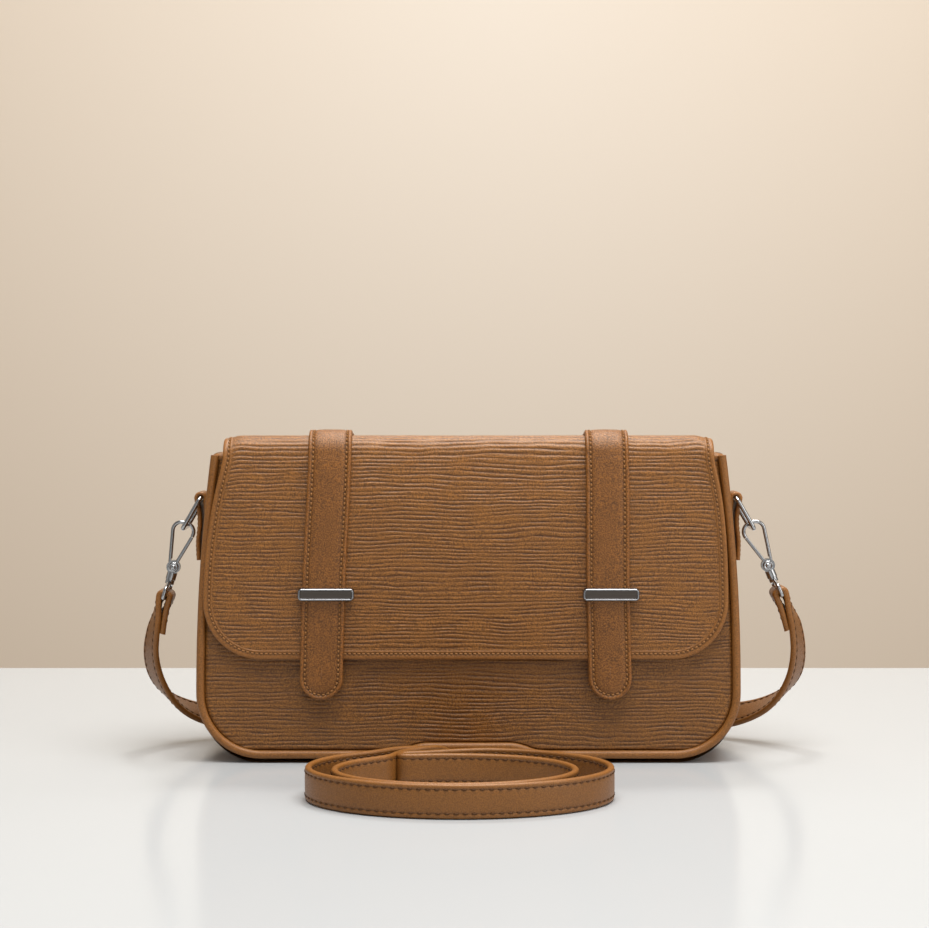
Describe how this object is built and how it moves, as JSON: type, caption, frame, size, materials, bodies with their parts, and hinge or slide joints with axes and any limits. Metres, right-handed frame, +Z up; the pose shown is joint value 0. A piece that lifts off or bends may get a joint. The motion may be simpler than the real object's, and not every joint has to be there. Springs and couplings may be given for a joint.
{
  "type": "sling bag",
  "caption": "Small leather shoulder bag with a folding flap, side rings with snap hooks and a thin shoulder strap coiled in front.",
  "frame": {"origin": "centre of the bag's own box at its base, on the surface it stands on, without the shoulder strap and what is on it", "axes": "+Z up, +X to the right across the bag, +Y from the front with the flap to the back"},
  "size_m": [0.3229, 0.2334, 0.16],
  "materials": {
    "grained_leather": "embossed with a fine horizontal ripple, satin",
    "smooth_leather": "smooth, satin",
    "strap_leather": "smooth, satin, stitched along both edges",
    "lining_fabric": "plain weave, matt",
    "board": "matt stiffener board",
    "magnet": "plain",
    "polished_metal": "polished",
    "brushed_metal": "brushed"
  },
  "bodies": {
    "root": {"front_panel": "grained_leather", "back_panel": "grained_leather", "gusset": "smooth_leather", "front_piping": "smooth_leather", "back_piping": "smooth_leather", "front_stiffener": "board", "back_stiffener": "board", "base_board": "board", "lining": "lining_fabric", "mouth_facing": "smooth_leather", "slip_pocket": "lining_fabric", "pocket_trim": "smooth_leather", "flap_anchor": "grained_leather", "strap_coil": "strap_leather", "strap_leg_left": "strap_leather", "strap_leg_right": "strap_leather", "left_flap_strap_rear": "strap_leather", "left_magnet_plate": "magnet", "left_side_tab": "smooth_leather", "left_swivel_stud": "polished_metal", "left_strap_eye": "polished_metal", "left_strap_end": "strap_leather", "right_flap_strap_rear": "strap_leather", "right_magnet_plate": "magnet", "right_side_tab": "smooth_leather", "right_swivel_stud": "polished_metal", "right_strap_eye": "polished_metal", "right_strap_end": "strap_leather"},
    "flap_top": {"flap_crown": "grained_leather", "left_flap_strap_top": "strap_leather", "right_flap_strap_top": "strap_leather"},
    "flap_front": {"flap_face": "grained_leather", "flap_lining": "lining_fabric", "flap_edge_trim": "smooth_leather", "left_flap_strap_front": "strap_leather", "left_tip_magnet": "magnet", "left_keeper": "polished_metal", "left_keeper_plate": "brushed_metal", "right_flap_strap_front": "strap_leather", "right_tip_magnet": "magnet", "right_keeper": "polished_metal", "right_keeper_plate": "brushed_metal"},
    "left_ring": {"left_ring": "polished_metal"},
    "left_hook": {"left_hook_body": "polished_metal", "left_gate_rivet": "polished_metal", "left_gate_spring": "polished_metal"},
    "left_gate": {"left_gate": "polished_metal"},
    "right_ring": {"right_ring": "polished_metal"},
    "right_hook": {"right_hook_body": "polished_metal", "right_gate_rivet": "polished_metal", "right_gate_spring": "polished_metal"},
    "right_gate": {"right_gate": "polished_metal"}
  },
  "joints": [
    {"name": "flap_hinge", "type": "hinge", "parent": "root", "child": "flap_top", "pos_m": [0, 0.04185, 0.147], "axis": [-1, 0, 0], "range_deg": [0, 165]},
    {"name": "flap_fold", "type": "hinge", "parent": "flap_top", "child": "flap_front", "pos_m": [0, -0.03955, 0.147], "axis": [-1, 0, 0], "range_deg": [0, 80]},
    {"name": "left_ring_swing", "type": "hinge", "parent": "root", "child": "left_ring", "pos_m": [-0.131, 0.00165, 0.1252], "axis": [0, -1, 0], "range_deg": [0, 4]},
    {"name": "left_hook_swivel", "type": "hinge", "parent": "root", "child": "left_hook", "pos_m": [-0.14628, 0.00165, 0.08688], "axis": [0.2756, 0, 0.9613], "range_deg": [-20, 20]},
    {"name": "left_gate_hinge", "type": "hinge", "parent": "left_hook", "child": "left_gate", "pos_m": [-0.14512, 0.00165, 0.09092], "axis": [0, -1, 0], "range_deg": [0, 22], "stiffness_Nm_per_rad": 0.002, "springref_deg": -17.19},
    {"name": "right_ring_swing", "type": "hinge", "parent": "root", "child": "right_ring", "pos_m": [0.131, 0.00165, 0.1252], "axis": [0, 1, 0], "range_deg": [0, 4]},
    {"name": "right_hook_swivel", "type": "hinge", "parent": "root", "child": "right_hook", "pos_m": [0.1491, 0.00165, 0.08788], "axis": [-0.3907, 0, 0.9205], "range_deg": [-20, 20]},
    {"name": "right_gate_hinge", "type": "hinge", "parent": "right_hook", "child": "right_gate", "pos_m": [0.14746, 0.00165, 0.09175], "axis": [0, 1, 0], "range_deg": [0, 22], "stiffness_Nm_per_rad": 0.002, "springref_deg": -17.19}
  ]
}
